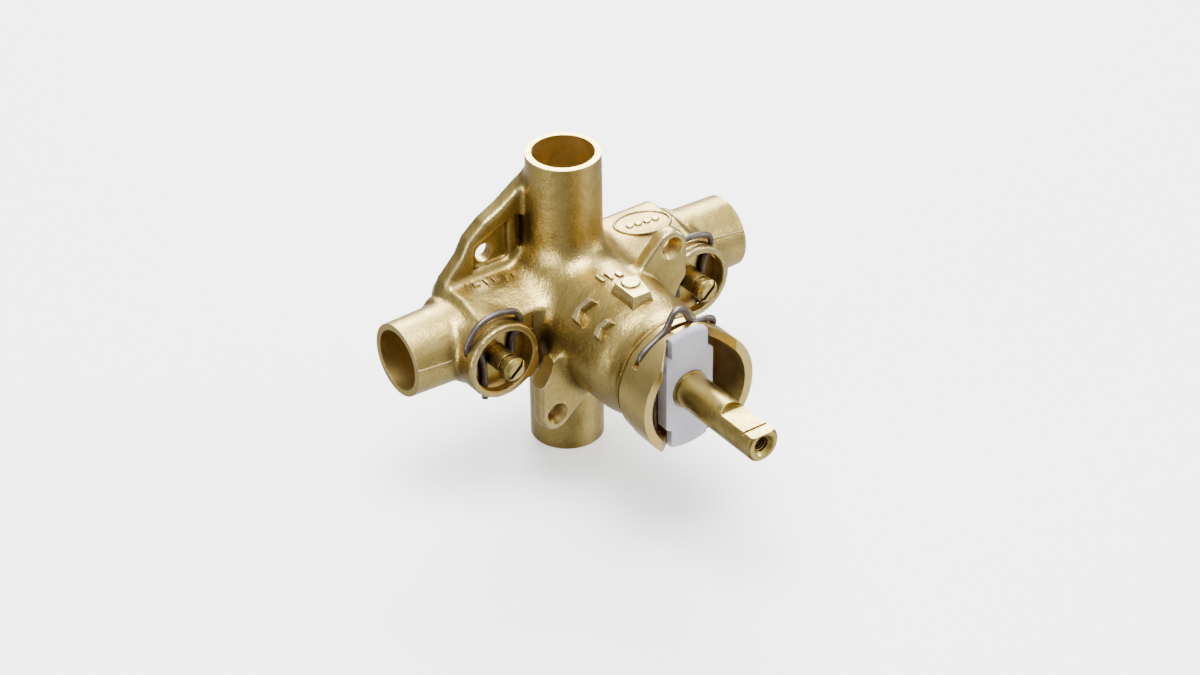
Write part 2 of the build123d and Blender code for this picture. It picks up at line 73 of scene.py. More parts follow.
# Machined forms, as (y, radius) of what is round and as (x, y) of the rim's window
COLLAR = [
    (-60.0, 16.6), (-49.4, 16.6), (-49.4, 16.1), (-45.5, 16.1), (-45.5, 15.75), (-44.2, 15.35),
    (-44.2, 20.0), (-60.0, 20.0),
]
STOP_BORE = [
    (-20, 8.75), (TOWER_FRONT, 8.75), (-16.15, 8.5), (-8, 8.5), (-8, 7.6), (0.3, 7.6),
    (0.3, 3.6), (4.6, 3.6),
]
RIM_WINDOW = [
    (-6.2, -50.7), (-6.2, -51.5), (-11.3, -56.6), (-11.3, -62),
    (11.3, -62), (11.3, -56.6), (6.2, -51.5), (6.2, -50.7),
]

# Raised figures: the gate's outline as (x, y), the cast marks' as (y, around the trunk), bars as
# (half x, half y) or as (x, y, half x, half y), and points of the ports' seams
GATE = [(-5.4, -24.6), (-5.6, -36.6), (2.9, -36.6), (5.6, -24.6)]
CAST_MARKS = (
    [(-22.5, 3.9), (-26.8, 3.9), (-24.9, 0.3), (-26.3, -3.9), (-22.9, -3.9), (-21.8, 0.6)],
    [(-32.1, 3.9), (-35.4, 3.8), (-34.2, 0.7), (-35.4, -2.4), (-32.3, -2.6), (-31.0, 1.0)],
)
ARM_BARS = [(0.45, 1.5), (1.0, 0.9), (0.45, 1.5), (0.95, 1.0), (0.45, 1.4), (0.9, 1.1)]
TRUNK_BARS = [(-3.3, -20.0, 0.5, 1.8), (-0.9, -20.4, 0.5, 1.8), (1.7, -21.2, 0.9, 1.2)]
PORT_SEAMS = (
    [(-51.0, -9.6, 1.9), (-43.0, -9.8, 1.4), (-34.6, -9.9, 0.7)],
    [(37.6, -8.4, 5.9), (44.0, -8.4, 5.1), (51.0, -8.7, 4.4)],
)

# The loops of the spring clips as corners (x, z)
BARREL_LOOP = [
    (-13.4, 11.2), (-4.2, 15.9), (-3.2, 17.8), (-1.5, 20.9), (1.3, 20.7),
    (3.0, 16.6), (4.6, 15.3), (8.6, 15.2), (11.2, 13.6),
]
STOP_LOOP = [
    (-9.6, 4.2), (-8.0, 8.3), (-4.4, 11.9), (0.8, 12.4), (5.8, 11.3), (7.2, 8.6), (6.0, 5.2),
]

# Light of the room by height and from left to right, as (place from 0 to 1, level)
ROOM_HEIGHT = ((0.0, 0.45), (0.25, 0.86), (0.46, 0.40), (0.60, 0.38), (0.80, 0.78), (1.0, 1.5))
ROOM_WIDTH = ((0.0, 0.98), (0.45, 0.62), (0.77, 2.4), (0.9, 0.9), (1.0, 0.8))
# Soft lights, all turned to the valve, as name, place, size and power
SOFTBOXES = (
    ("top", (-0.10, -0.10, 0.95), (0.55, 0.55), 26.0),
    ("side", (0.80, -0.45, 0.22), (0.3, 0.4), 5.0),
    ("back", (0.55, 0.80, 0.65), (0.7, 0.5), 24.0),
    ("left", (-0.85, -0.10, 0.10), (0.35, 0.5), 5.0),
)

# The grid that the casting's skin is drawn on
STEP = 0.55
LOW = np.array([-53.0, -59.0, -44.5])
HIGH = np.array([53.0, 14.8, 44.5])
CELL_CORNERS = [(i, j, k) for i in (0, 1) for j in (0, 1) for k in (0, 1)]
# A face this far below the rough casting's skin, as a field value, was cut by a tool
CUT_DEPTH = -0.14
SHARP_ANGLE = 32


def grid():
    axes = [np.arange(LOW[i], HIGH[i], STEP, dtype=np.float32) for i in range(3)]
    return axes[0][:, None, None], axes[1][None, :, None], axes[2][None, None, :]


def join(a, b, blend):
    """Union of two distance fields with a fillet; blend is how far it spreads."""
    overlap = np.maximum(blend - np.abs(a - b), 0.0) / blend
    return np.minimum(a, b) - overlap * overlap * blend * 0.25


def carve(a, b, blend):
    """Field a with b taken away."""
    return -join(-a, b, blend)


def meet(a, b, edge):
    """Where two fields overlap, with a round outer edge."""
    u = np.maximum(a + edge, 0.0)
    v = np.maximum(b + edge, 0.0)
    return np.minimum(np.maximum(a, b) + edge, 0.0) + np.sqrt(u * u + v * v) - edge


def span(t, low, high):
    """Distance along one axis outside the stretch from low to high."""
    return np.maximum(low - t, t - high)


def turned(along, side_a, side_b, profile, edge=0.5):
    """A round form about an axis; profile is (along, radius) in rising order of along."""
    places, radii = zip(*profile)
    radius = np.interp(along, places, radii).astype(np.float32)
    radial = np.sqrt(side_a * side_a + side_b * side_b) - radius
    return meet(radial, span(along, places[0], places[-1]), edge)


def polygon(x, z, points):
    """Distance in the XZ plane to a closed outline, negative inside."""
    distance = np.full(np.broadcast(x, z).shape, 1e6, dtype=np.float32)
    inside = np.zeros(distance.shape, dtype=bool)
    for (ax, az), (bx, bz) in zip(points, points[1:] + points[:1]):
        ex, ez = bx - ax, bz - az
        t = np.clip(((x - ax) * ex + (z - az) * ez) / (ex * ex + ez * ez), 0.0, 1.0)
        distance = np.minimum(distance, np.hypot(x - ax - t * ex, z - az - t * ez))
        if ez:
            crosses = ((az <= z) != (bz <= z)) & (x < ax + (z - az) / ez * ex)
            inside ^= crosses
    return np.where(inside, -distance, distance)


def arm(x, y, z):
    """The squarer casting behind a stop, which tapers to its port."""
    stop_half, port_half, taper, end = 12.3, 9.9, (32.8, 35.0), 37.0
    reach = np.abs(x)
    halves = (stop_half, stop_half, port_half, port_half)
    half = np.interp(reach, (0, *taper, 60), halves).astype(np.float32)
    body = meet(span(y, -half, half * 0.96), np.abs(z) - half * 0.96, 5.2)
    facet = (z * 0.93 - y * 0.333) - half * 0.98
    return meet(meet(body, facet, 0.7), reach - end, 1.0)


def lug(x, y, z):
    """The plate round the trim screw hole on the +X +Z side, thinner towards its rim."""
    reach = LUG_R * math.sin(math.radians(45))
    slope, draft = 9.9, 0.1
    outline = [
        (LUG_AT - reach - slope, LUG_AT + reach - slope),
        (LUG_AT - reach, LUG_AT + reach),
        (LUG_AT + LUG_R, LUG_AT),
        (LUG_AT + LUG_R, 4.0),
        (16.0, 0.0),
        (4.0, 0.0),
    ]
    plan = np.minimum(polygon(x, z, outline), np.hypot(x - LUG_AT, z - LUG_AT) - LUG_R)
    plan = plan + draft * np.abs(y - 0.5 * (LUG_FRONT + LUG_BACK))
    return meet(meet(plan, LUG_FRONT - y, 0.4), y - LUG_BACK, 1.1)


def web(x, y, z):
    """The bracket web at the back between the shower outlet and the hot inlet, with its pockets."""
    pocket_floor = 6.2
    plate = meet(polygon(x, z, WEB), span(y, WEB_FRONT, WEB_BACK), 1.1)
    for pocket in WEB_POCKETS:
        hollow = meet(polygon(x, z, pocket) + 0.3, y - pocket_floor, 0.8)
        plate = carve(plate, hollow, 0.9)
    return plate


def cast_field():
    """The outside of the casting as a distance field, before it is machined."""
    x, y, z = grid()
    solid = join(turned(y, x, z, TRUNK, 3.2), arm(x, y, z), 4.5)
    solid = join(solid, turned(np.abs(x), y, z, INLET_PORT), 1.3)
    solid = join(solid, turned(np.abs(z), x, y, OUTLET_PORT), 6.5)
    for sign in (-1, 1):
        tower = [(TOWER_FRONT, TOWER_R), (8.0, TOWER_R)]
        solid = join(solid, turned(y, x - sign * STOP_X, z, tower, 0.35), 1.6)
    solid = join(solid, lug(x, y, z), 2.0)
    solid = join(solid, lug(-x, y, -z), 3.0)
    # The rib from the trunk to the lower lug
    rib = meet(meet(span(x, -13.0, -6.0), span(z, -19.5, -8.0), 1.5), span(y, -18.0, 0.0), 1.5)
    solid = join(solid, rib, 5.0)
    solid = join(solid, web(x, y, z), 2.6)
    return join(solid, web(-x, y, -z), 2.6)


def skin(field):
    """A quad mesh on the zero level of a field: one point in each cell the level passes through."""
    inside = field < 0
    shape = tuple(n - 1 for n in field.shape)

    def at_corner(i, j, k):
        """What lies inside, at one corner of every cell."""
        return inside[i:i + shape[0], j:j + shape[1], k:k + shape[2]]

    count = sum(at_corner(*corner).astype(np.int8) for corner in CELL_CORNERS)
    cells = np.argwhere((count > 0) & (count < len(CELL_CORNERS)))
    number = np.full(shape, -1, dtype=np.int64)
    number[tuple(cells.T)] = np.arange(len(cells))

    # A cell's point is the mean of the places where the level crosses its edges
    total = np.zeros((len(cells), 3))
    hits = np.zeros(len(cells))
    for corner in CELL_CORNERS:
        for axis in range(3):
            if corner[axis]:
                continue
            far = list(corner)
            far[axis] = 1
            a = field[tuple((cells + corner).T)]
            b = field[tuple((cells + far).T)]
            crosses = (a < 0) != (b < 0)
            place = np.tile(np.array(corner, dtype=float), (len(cells), 1))
            place[:, axis] += np.where(crosses, a / np.where(crosses, a - b, 1.0), 0.0)
            total[crosses] += place[crosses]
            hits[crosses] += 1
    points = LOW + (cells + total / hits[:, None]) * STEP

    # Each grid edge that the level crosses gets a face through the four cells round it
    quads = []
    for axis in range(3):
        one, two = (axis + 1) % 3, (axis + 2) % 3
        near = np.moveaxis(inside, axis, 0)
        flips = np.moveaxis(near[:-1] != near[1:], 0, axis)
        edges = np.argwhere(flips)
        edges = edges[(edges[:, one] > 0) & (edges[:, two] > 0)]
        edges = edges[(edges[:, one] < shape[one]) & (edges[:, two] < shape[two])]
        loops = []
        for da, db in ((1, 1), (0, 1), (0, 0), (1, 0)):
            cell = edges.copy()
            cell[:, one] -= da
            cell[:, two] -= db
            loops.append(number[tuple(cell.T)])
        loops = np.stack(loops, 1)
        turn = ~inside[tuple(edges.T)]
        loops[turn] = loops[turn][:, ::-1]
        quads.append(loops)
    return points, np.concatenate(quads)


def sample(field, points):
    """The field's value at each point, blended between grid corners."""
    t = (points - LOW) / STEP
    base = np.clip(np.floor(t).astype(int), 0, np.array(field.shape) - 2)
    t = t - base
    value = np.zeros(len(points))
    for corner in CELL_CORNERS:
        weight = np.prod(np.where(corner, t, 1 - t), axis=1)
        value += weight * field[tuple((base + corner).T)]
    return value


def new_object(name, mesh):
    piece = bpy.data.objects.new(name, mesh)
    bpy.context.scene.collection.objects.link(piece)
    return piece


def finished(name, mesh):
    """An object out of a bmesh, which is freed."""
    data = bpy.data.meshes.new(name)
    mesh.to_mesh(data)
    mesh.free()
    return new_object(name, data)


def quad_mesh(name, points, quads):
    mesh = bpy.data.meshes.new(name)
    mesh.vertices.add(len(points))
    mesh.vertices.foreach_set("co", (points * MM).astype(np.float32).ravel())
    mesh.loops.add(len(quads) * 4)
    mesh.loops.foreach_set("vertex_index", quads.astype(np.int32).ravel())
    mesh.polygons.add(len(quads))
    mesh.polygons.foreach_set("loop_start", np.arange(0, len(quads) * 4, 4, dtype=np.int32))
    mesh.update(calc_edges=True)
    mesh.validate()
    return mesh


def circle(count):
    """Angles of points evenly round a circle."""
    return [2 * math.pi * n / count for n in range(count)]


def lofted(name, mesh, rings, ends="capped"):
    """Faces from ring to ring; the ends are capped, joined to each other or left open."""
    pairs = list(zip(rings, rings[1:]))
    if ends == "joined":
        pairs.append((rings[-1], rings[0]))
    for low, high in pairs:
        for n in range(len(low)):
            m = (n + 1) % len(low)
            mesh.faces.new((low[n], low[m], high[m], high[n]))
    if ends == "capped":
        mesh.faces.new(rings[0][::-1])
        mesh.faces.new(rings[-1])
    if ends != "open":
        bmesh.ops.recalc_face_normals(mesh, faces=mesh.faces)
    return finished(name, mesh)


def lathe(name, profile, axis="Y", across=(0.0, 0.0), segments=96, ends="capped"):
    """A round solid about an axis; profile is (along, radius)."""
    mesh = bmesh.new()
    rings = []
    for along, radius in profile:
        ring = []
        for a in circle(segments):
            u, v = radius * math.cos(a) + across[0], radius * math.sin(a) + across[1]
            where = {"X": (along, u, v), "Y": (u, along, v), "Z": (u, v, along)}[axis]
            ring.append(mesh.verts.new([c * MM for c in where]))
        rings.append(ring)
    return lofted(name, mesh, rings, ends)


def extruded(name, outline, way):
    """A straight solid from a flat outline of points along a way."""
    mesh = bmesh.new()
    low = [mesh.verts.new([c * MM for c in p]) for p in outline]
    high = [mesh.verts.new([(c + w) * MM for c, w in zip(p, way)]) for p in outline]
    return lofted(name, mesh, [low, high])


def prism(name, outline, y_low, y_high):
    """A straight solid along Y with an outline of (x, z) points."""
    return extruded(name, [(x, y_low, z) for x, z in outline], (0.0, y_high - y_low, 0.0))


def rectangle(x, z):
    return [(x[0], z[0]), (x[1], z[0]), (x[1], z[1]), (x[0], z[1])]


def inset(outline, depth):
    """The same closed outline with every side moved inwards; it runs counter-clockwise."""
    moved = []
    for n, corner in enumerate(outline):
        before, after = outline[n - 1], outline[(n + 1) % len(outline)]
        one = (Vector(corner) - Vector(before)).normalized()
        two = (Vector(after) - Vector(corner)).normalized()
        one, two = Vector((-one.y, one.x)), Vector((-two.y, two.x))
        moved.append(Vector(corner) + (one + two) * (depth / (1.0 + one.dot(two))))
    return moved


def drafted(origin, along, outward, outline, height, draft):
    """A raised form with sloping sides on a plane; the outline is (along, across)."""
    along, outward = Vector(along), Vector(outward).normalized()
    across = outward.cross(along)
    mesh = bmesh.new()
    low, high = [], []
    for (u, v), (p, q) in zip(outline, inset(outline, draft)):
        base = Vector(origin) + along * u + across * v
        top = Vector(origin) + along * p + across * q
        low.append(mesh.verts.new(base * MM))
        high.append(mesh.verts.new((top + outward * height) * MM))
    return lofted("mark", mesh, [low, high])


def upward(outline, level, height, draft):
    """A raised form that faces up, with its foot at a level."""
    return drafted((0, 0, level), (1, 0, 0), (0, 0, 1), outline, height, draft)


def bar(x, y, half_x, half_y, level, height):
    """A small raised bar that faces up."""
    outline = rectangle((x - half_x, x + half_x), (y - half_y, y + half_y))
    return upward(outline, level, height, 0.2)


def smoothed(points, rounds=3):
    """An open line with its corners cut again and again until it is smooth."""
    points = [Vector(p) for p in points]
    for _ in range(rounds):
        pairs = [(a.lerp(b, 0.25), a.lerp(b, 0.75)) for a, b in zip(points, points[1:])]
        points = [points[0]] + [p for pair in pairs for p in pair] + [points[-1]]
    return points


def wire(name, points, radius, closed=False, sides=14):
    """A round wire along a line of points; an open one has rounded ends."""
    end_scale = 0.6
    count = len(points)
    stations = []
    for n, point in enumerate(points):
        before = points[n - 1] if n or closed else point
        after = points[(n + 1) % count] if n < count - 1 or closed else point
        stations.append((point, (after - before).normalized(), 1.0))
    if not closed:
        (first, way, _), (last, end_way, _) = stations[0], stations[-1]
        stations[0] = (first + way * radius * 0.5, way, 1.0)
        stations[-1] = (last - end_way * radius * 0.5, end_way, 1.0)
        stations = [(first, way, end_scale)] + stations + [(last, end_way, end_scale)]
    mesh = bmesh.new()
    rings = []
    side = stations[0][1].orthogonal()
    for point, way, scale in stations:
        side = (side - way * side.dot(way)).normalized()
        other = way.cross(side)
        ring = []
        for a in circle(sides):
            place = point + (side * math.cos(a) + other * math.sin(a)) * radius * scale
            ring.append(mesh.verts.new(place * MM))
        rings.append(ring)
    return lofted(name, mesh, rings, "joined" if closed else "capped")


def together(pieces):
    """One object out of solids that lie apart."""
    mesh = bmesh.new()
    for piece in pieces:
        mesh.from_mesh(piece.data)
        bpy.data.objects.remove(piece)
    return finished("together", mesh)


def raised_marks():
    """The gate and its pad, the two cast marks, and plain figures in place of lettering."""
    marks = [upward(GATE, 12.0, 6.4, 2.0)]
    pad = lathe("mark", [(12.0, 2.5), (18.7, 2.4), (18.9, 2.2)], "Z", (-0.3, -28.8), 48)

    # The cast marks stand on the trunk's upper left, and their outlines are (y, around)
    angle = math.radians(133.3)
    outward = (math.cos(angle), 0, math.sin(angle))
    for outline in CAST_MARKS:
        marks.append(drafted(Vector(outward) * 15.0, (0, 1, 0), outward, outline, 2.8, 0.8))

    for n, (half_x, half_y) in enumerate(ARM_BARS):
        marks.append(bar(-28.6 + 2.6 * n, 2.0 - 0.45 * n, half_x, half_y, 11.0, 1.25))
    for place_and_size in TRUNK_BARS:
        marks.append(bar(*place_and_size, 14.6, 1.95))

    # Four dots in a blank oval on the cold arm
    dot = [(11.2, 1.05), (12.1, 1.0), (12.25, 0.8)]
    for n in range(4):
        marks.append(lathe("mark", dot, "Z", (21.2 + 2.5 * n, 1.1 - 0.35 * n), 24))
    oval = []
    for t in circle(48):
        x = 24.9 + 7.4 * math.cos(t)
        y = 0.6 + 5.3 * math.sin(t) - 1.0 * math.cos(t)
        oval.append(Vector((x, y, 11.85)))
    marks.append(wire("mark", oval, 0.4, True, 10))

    for line in PORT_SEAMS:
        marks.append(wire("mark", smoothed(line), 0.25, False, 8))
    return [together(marks), pad]


def thread(start, end, radius, pitch=0.85, depth=0.42):
    """The ridges of a tapped hole as (along, radius) points."""
    turns = int((end - start) / pitch)
    points = []
    for n in range(turns):
        points += [(start + n * pitch, radius), (start + (n + 0.5) * pitch, radius + depth)]
    return points + [(start + turns * pitch, radius), (end + 0.3, radius)]


def machining():
    """Everything that is cut out of the casting, as closed solids."""
    cuts = []

    def bore(profile, axis="Y", across=(0.0, 0.0), segments=96, ends="capped"):
        cuts.append(lathe("cut", profile, axis, across, segments, ends))

    def slot(x, z, y, half_width):
        cuts.append(prism("cut", rectangle(x, z), y - half_width, y + half_width))

    bore([(-60, BARREL_R), (-44.5, BARREL_R), (-44.5, BORE_R), (9.5, BORE_R)])
    for sign in (-1, 1):
        # The inlet's socket, the way from the stop to the barrel and the way to the stop
        x = sign * STOP_X
        mouth = sign * INLET_REACH
        floor = mouth - sign * SOCKET_DEPTH
        socket = [(mouth + sign * 4, SOCKET_R), (floor, SOCKET_R), (floor, 6.4)]
        bore(socket + [(floor - sign * 1.2, 6.1), (floor - sign * 1.3, 0.4)], "X")
        bore([(0, 3.4), (x, 3.4)], "X", (4.6, 0))
        bore([(x, 3.2), (mouth - sign * 11, 3.2)], "X", (-3.8, 0))

        # The outlet's socket and way
        mouth = sign * OUTLET_REACH
        floor = mouth - sign * SOCKET_DEPTH
        bore([(mouth + sign * 4, SOCKET_R), (floor, SOCKET_R), (floor, 6.2), (0, 6.2)], "Z")

        # The stop: the scoop in front of the tower, its bore and the clip's slots
        bore([(-40, SCOOP_R), (TOWER_FRONT, SCOOP_R)], "Y", (x, 0), 128)
        bore(STOP_BORE, "Y", (x, 0))
        slot((x - 11.25, x + 11.25), (3.4, 11.25), STOP_CLIP_Y, 0.9)
        slot((x - 6.4, x + 6.4), (-11.25, -6.5), STOP_CLIP_Y, 0.9)

        # The tapped trim screw hole and the bracket hole
        tapped = thread(LUG_FRONT + 0.9, LUG_FRONT + 7.2, 2.15)
        lead_in = [(-30, 3.1), (LUG_FRONT, 3.1)]
        bore(lead_in + tapped, "Y", (sign * LUG_AT, sign * LUG_AT), 64)
        bracket_hole = [(3.0, 2.55), (BODY_BACK - 1.0, 2.55)]
        bore(bracket_hole, "Y", (sign * WEB_HOLE[0], sign * WEB_HOLE[1]), 48)

    # The barrel's outside, the rim's windows and the slots of the barrel's clip
    bore(COLLAR, segments=128, ends="joined")
    window = [(x, y, -22.0) for x, y in RIM_WINDOW]
    cuts.append(extruded("cut", window, (0, 0, 44.0)))
    slot((-17.6, 17.6), (8.8, 17.6), BARREL_CLIP_Y, 0.95)
    for sign in (-1, 1):
        slot((sign * 7.45 - 1.6, sign * 7.45 + 1.6), (-17.6, -8.0), BARREL_CLIP_Y, 0.95)
    return cuts


def limits():
    """The box the rough casting is faced off to."""
    outline = rectangle((-INLET_REACH, INLET_REACH), (-OUTLET_REACH, OUTLET_REACH))
    return prism("limits", outline, BARREL_FRONT, BODY_BACK)


def machined(piece, marks, cuts, keep):
    """Add the raised marks to a piece, face it off and make all the cuts."""
    steps = [(mark, "UNION") for mark in marks] + [(keep, "INTERSECT")]
    steps += [(cut, "DIFFERENCE") for cut in cuts]
    for other, action in steps:
        step = piece.modifiers.new("machining", "BOOLEAN")
        step.operation = action
        step.object = other
        step.solver = "MANIFOLD"
    graph = bpy.context.evaluated_depsgraph_get()
    mesh = bpy.data.meshes.new_from_object(piece.evaluated_get(graph))
    piece.modifiers.clear()
    piece.data = mesh
    for other, _ in steps:
        bpy.data.objects.remove(other)


def cast_body(cast_look, cut_look):
    """The whole casting, with one material where it is rough and one where a tool has cut it."""
    field = cast_field()
    points, quads = skin(field)
    piece = new_object("cast_body", quad_mesh("cast_body", points, quads))
    machined(piece, raised_marks(), machining(), limits())
    mesh = piece.data
    mesh.materials.clear()
    mesh.materials.append(cast_look)
    mesh.materials.append(cut_look)
    mesh.shade_smooth()
    mesh.set_sharp_from_angle(angle=math.radians(SHARP_ANGLE))
    centres = np.empty(len(mesh.polygons) * 3)
    mesh.polygons.foreach_get("center", centres)
    cut = sample(field, centres.reshape(-1, 3) / MM) < CUT_DEPTH
    mesh.polygons.foreach_set("material_index", cut.astype(np.int32))
    return piece


def bent(name, leg_x, leg_end, leg_top, loop, x, y, radius):
    """A spring clip: two legs joined over the top by a loop of (x, z) corners."""
    corners = [(-leg_x, leg_end), (-leg_x, leg_top)] + loop + [(leg_x, leg_top), (leg_x, leg_end)]
    return wire(name, smoothed([(x + a, y, b) for a, b in corners]), radius)


def stem_thread():
    """The thread in the stem's end, as a wire that winds in from the mouth."""
    points = []
    for n in range(180):
        turn = n * math.pi / 12
        radius = max(2.1, 2.9 - 0.03 * n)
        points.append(Vector((radius * math.cos(turn), -81.9 + 0.034 * n, radius * math.sin(turn))))
    return wire("stem_thread", points, 0.26, False, 8)


class Nodes:
    """A short way to build a material's nodes; sizes are in millimetres."""

    def __init__(self, name):
        self.material = bpy.data.materials.new(name)
        self.material.use_nodes = True
        self.tree = self.material.node_tree
        self.shader = self.tree.nodes["Principled BSDF"]

    def add(self, kind, values=None, **settings):
        node = self.tree.nodes.new(kind)
        for key, value in settings.items():
            setattr(node, key, value)
        for key, value in (values or {}).items():
            self.put(node.inputs[key], value)
        return node

    def put(self, socket, value):
        if isinstance(value, bpy.types.NodeSocket):
            self.tree.links.new(value, socket)
        else:
            socket.default_value = value

    def set(self, **values):
        for key, value in values.items():
            self.put(self.shader.inputs[key.replace("_", " ")], value)

    def place(self):
        return self.add("ShaderNodeTexCoord").outputs["Object"]

    def noise(self, grain, detail=2.0, rough=0.5):
        """Noise with grains of the given size."""
        values = {"Vector": self.place(), "Scale": 1.0 / MM / grain}
        values.update({"Detail": detail, "Roughness": rough})
        return self.add("ShaderNodeTexNoise", values).outputs["Fac"]

    def tones(self, factor, one, two):
        """From colour one to colour two, over the range that most of a noise lies in."""
        node = self.add("ShaderNodeValToRGB", {"Fac": factor})
        for element, place, colour in zip(node.color_ramp.elements, (0.3, 0.7), (one, two)):
            element.position = place
            element.color = (*colour, 1.0)
        return node.outputs["Color"]

    def map(self, value, low, high, new_low, new_high):
        values = {"Value": value, "From Min": low, "From Max": high}
        values.update({"To Min": new_low, "To Max": new_high})
        return self.add("ShaderNodeMapRange", values).outputs["Result"]

    def mix(self, factor, a, b):
        """From colour a to colour b; the colour sockets of a Mix node are 6, 7 and 2."""
        node = self.add("ShaderNodeMix", {"Factor": factor, 6: a, 7: b}, data_type="RGBA")
        return node.outputs[2]

    def bump(self, height, depth, normal=None):
        """Relief of the given depth."""
        values = {"Height": height, "Distance": depth * MM}
        if normal is not None:
            values["Normal"] = normal
        return self.add("ShaderNodeBump", values).outputs["Normal"]

    def open_sky(self, reach, low, high):
        """How open a point lies, from 0 in a crevice to 1."""
        node = self.add("ShaderNodeAmbientOcclusion", {"Distance": reach * MM}, samples=6)
        return self.map(node.outputs["AO"], low, high, 0.0, 1.0)

    def soft_edges(self, radius):
        return self.add("ShaderNodeBevel", {"Radius": radius * MM}, samples=4).outputs["Normal"]


def cast_brass():
    n = Nodes("cast_brass_skin")
    patches = n.noise(9.0, 5.0, 0.65)
    grain = n.noise(0.5, 3.0, 0.6)
    colour = n.tones(patches, (0.36, 0.265, 0.072), (0.55, 0.415, 0.142))
    pits = n.map(grain, 0.30, 0.55, 0.6, 1.0)
    edge = n.add("ShaderNodeNewGeometry").outputs["Pointiness"]
    worn = n.map(edge, 0.505, 0.56, 0.0, 0.55)
    colour = n.mix(worn, colour, (0.84, 0.72, 0.40, 1.0))
    colour = n.mix(pits, (0.20, 0.135, 0.035, 1.0), colour)
    # Painted shade: the colour turns dark brown where a point lies in a crevice or hollow
    colour = n.mix(n.open_sky(8.0, 0.30, 0.92), (0.14, 0.085, 0.02, 1.0), colour)
    rough = n.map(grain, 0.3, 0.7, 0.37, 0.27)
    normal = n.bump(n.noise(2.6, 3.0, 0.55), 0.20, n.soft_edges(0.25))
    normal = n.bump(grain, 0.10, normal)
    n.set(Base_Color=colour, Metallic=1.0, Roughness=rough, Normal=normal)
    return n.material


def machined_brass():
    n = Nodes("machined_brass")
    patches = n.noise(6.0, 4.0, 0.6)
    colour = n.tones(patches, (0.50, 0.37, 0.11), (0.64, 0.49, 0.18))
    # Painted shade: the colour turns darker brown deep in bores and hollows
    colour = n.mix(n.open_sky(9.0, 0.2, 0.9), (0.47, 0.285, 0.085, 1.0), colour)
    fine = n.noise(0.25, 2.0)
    depth = n.open_sky(20.0, 0.2, 0.9)
    rough = n.map(depth, 0.0, 1.0, 0.46, 0.27)
    normal = n.bump(fine, 0.008, n.soft_edges(0.2))
    n.set(Base_Color=colour, Metallic=1.0, Roughness=rough, Normal=normal)
    return n.material


def turned_brass():
    n = Nodes("turned_brass")
    patches = n.noise(5.0, 4.0, 0.6)
    colour = n.tones(patches, (0.36, 0.27, 0.07), (0.56, 0.43, 0.15))
    stains = n.map(n.noise(2.4, 5.0, 0.7), 0.50, 0.72, 0.0, 0.75)
    colour = n.mix(stains, colour, (0.20, 0.14, 0.04, 1.0))
    # Painted shade: the colour turns dark brown in crevices and hollows
    colour = n.mix(n.open_sky(4.0, 0.2, 0.75), (0.14, 0.08, 0.02, 1.0), colour)
    lines = {"Vector": n.place(), "Scale": 900.0, "Distortion": 1.5, "Detail": 2.0}
    rings = n.add("ShaderNodeTexWave", lines, bands_direction="Y")
    normal = n.bump(rings.outputs["Fac"], 0.006, n.soft_edges(0.2))
    normal = n.bump(n.noise(0.35, 2.0), 0.012, normal)
    rough = n.map(patches, 0.3, 0.7, 0.36, 0.26)
    n.set(Base_Color=colour, Metallic=1.0, Roughness=rough, Normal=normal)
    return n.material


def grey_plastic():
    n = Nodes("grey_plastic")
    cloud = n.noise(8.0, 3.0)
    colour = n.tones(cloud, (0.275, 0.265, 0.30), (0.33, 0.32, 0.35))
    rough = n.map(cloud, 0.3, 0.7, 0.42, 0.52)
    normal = n.bump(n.noise(0.5, 2.0), 0.012, n.soft_edges(0.25))
    n.set(Base_Color=colour, Roughness=rough, Normal=normal)
    n.set(Subsurface_Weight=0.05, Subsurface_Scale=0.001)
    return n.material


def spring_wire():
    n = Nodes("spring_wire")
    cloud = n.noise(2.2, 3.0, 0.6)
    colour = n.tones(cloud, (0.085, 0.07, 0.062), (0.17, 0.145, 0.13))
    rough = n.map(cloud, 0.3, 0.7, 0.5, 0.34)
    normal = n.bump(n.noise(0.3, 2.0), 0.01)
    n.set(Base_Color=colour, Metallic=0.9, Roughness=rough, Normal=normal)
    return n.material


def ground_steel():
    n = Nodes("ground_steel")
    cloud = n.noise(3.0, 3.0)
    colour = n.tones(cloud, (0.52, 0.52, 0.53), (0.62, 0.62, 0.63))
    rough = n.map(cloud, 0.3, 0.7, 0.3, 0.2)
    n.set(Base_Color=colour, Metallic=1.0, Roughness=rough, Normal=n.bump(cloud, 0.004))
    return n.material


def seal_rubber():
    n = Nodes("seal_rubber")
    cloud = n.noise(1.6, 3.0)
    colour = n.tones(cloud, (0.014, 0.014, 0.015), (0.03, 0.03, 0.03))
    rough = n.map(cloud, 0.3, 0.7, 0.6, 0.48)
    n.set(Base_Color=colour, Roughness=rough, Normal=n.bump(cloud, 0.01))
    return n.material


def floor_paint():
    n = Nodes("pale_floor")
    colour = n.tones(n.noise(300.0, 2.0), (0.93, 0.93, 0.93), (0.95, 0.95, 0.95))
    n.set(Base_Color=colour, Roughness=0.85)
    n.set(Emission_Color=(1.0, 1.0, 1.0, 1.0), Emission_Strength=0.8)
    return n.material


def camera(azimuth, elevation, roll, place, focal_length):
    """A camera that looks down at an elevation, from an azimuth measured from front to left."""
    a, e = math.radians(azimuth), math.radians(elevation)
    forward = Vector((math.sin(a) * math.cos(e), math.cos(a) * math.cos(e), -math.sin(e)))
    right = Vector((math.cos(a), -math.sin(a), 0.0))
    up = right.cross(forward)
    turn = Matrix.Rotation(math.radians(roll), 3, forward)
    right, up = turn @ right, turn @ up
    data = bpy.data.cameras.new("camera")
    data.lens = focal_length
    data.sensor_width = 36.0
    piece = new_object("camera", data)
    axes = Matrix((right, up, -forward)).transposed()
    piece.matrix_world = Matrix.Translation(place) @ axes.to_4x4()
    bpy.context.scene.camera = piece


